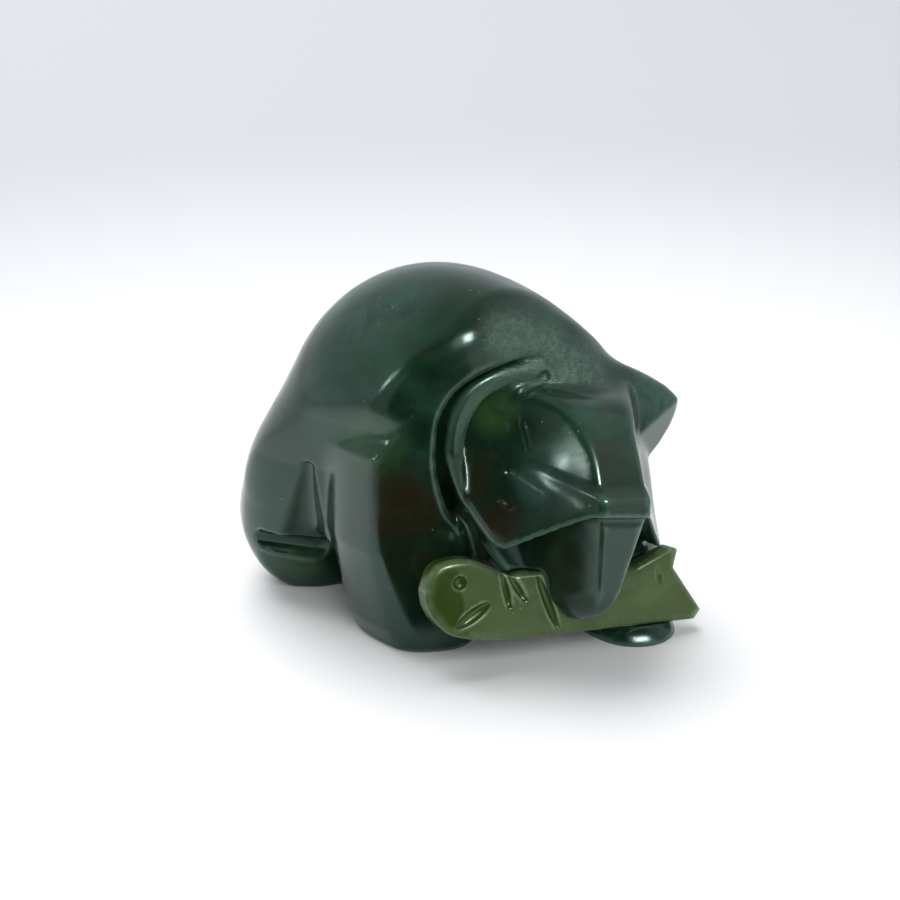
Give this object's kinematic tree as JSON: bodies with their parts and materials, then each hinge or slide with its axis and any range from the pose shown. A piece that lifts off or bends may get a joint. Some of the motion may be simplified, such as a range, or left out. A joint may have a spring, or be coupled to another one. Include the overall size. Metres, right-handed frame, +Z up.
{
  "type": "jade bear carving",
  "caption": "Walking bear carved from dark green stone, head turned and lowered, with a lighter green stone fish held crosswise in its mouth.",
  "frame": {"origin": "on the standing plane, under the middle of the whole carving", "axes": "+Z up, the bear faces -Y, its left side is towards +X"},
  "size_m": [0.0478, 0.0612, 0.0471],
  "materials": {
    "dark_jade": "polished dark green nephrite with faint mottling and fine scratches",
    "light_jade": "polished yellow-green nephrite, slightly see-through"
  },
  "bodies": {
    "root": {"bear": "dark_jade", "fish": "light_jade"}
  },
  "joints": []
}
